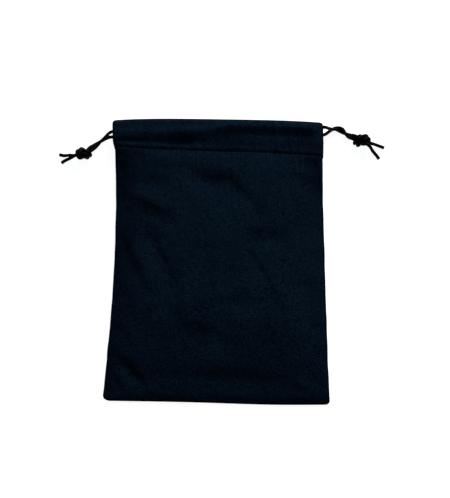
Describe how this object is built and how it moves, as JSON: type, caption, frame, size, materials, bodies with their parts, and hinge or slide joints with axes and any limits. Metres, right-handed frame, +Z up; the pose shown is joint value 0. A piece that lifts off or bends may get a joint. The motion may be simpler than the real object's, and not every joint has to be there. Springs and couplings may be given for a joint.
{
  "type": "drawstring dice bag",
  "caption": "Flat soft drawstring pouch for dice: two sewn panels, a casing round the mouth, and a cord out of each side that ends in an overhand knot.",
  "frame": {"origin": "centre of the pouch's outline, without its cords, on the surface that its back lies on", "axes": "+X across the mouth to the right, +Y from the base out of the mouth, +Z up from the back panel through the front panel"},
  "size_m": [0.1994, 0.1775, 0.013],
  "materials": {
    "cloth": "soft matt brushed cloth, very dark navy",
    "thread": "sewing thread, near black navy",
    "cord": "soft braided satin cord, near black"
  },
  "bodies": {
    "pouch": {"back_panel": "cloth", "front_panel": "cloth", "back_casing": "cloth", "front_casing": "cloth", "left_seam_allowance": "cloth", "right_seam_allowance": "cloth", "bottom_seam_allowance": "cloth", "left_seam_stitches": "thread", "right_seam_stitches": "thread", "bottom_seam_stitches": "thread", "back_casing_stitches": "thread", "front_casing_stitches": "thread"},
    "left_draw": {"left_drawcord_run": "cord", "left_front_strand": "cord", "left_back_strand": "cord", "left_knot": "cord", "left_front_tail": "cord", "left_back_tail": "cord", "right_casing_end": "cloth"},
    "right_draw": {"right_drawcord_run": "cord", "right_front_strand": "cord", "right_back_strand": "cord", "right_knot": "cord", "right_front_tail": "cord", "right_back_tail": "cord", "left_casing_end": "cloth"}
  },
  "joints": [
    {"name": "left_cord_pull", "type": "slide", "parent": "pouch", "child": "left_draw", "axis": [-1, 0, 0], "range_m": [0, 0.042], "deforming": ["front_casing", "back_casing", "front_casing_stitches", "back_casing_stitches"]},
    {"name": "right_cord_pull", "type": "slide", "parent": "pouch", "child": "right_draw", "axis": [1, 0, 0], "range_m": [0, 0.042], "deforming": ["front_casing", "back_casing", "front_casing_stitches", "back_casing_stitches"]}
  ]
}
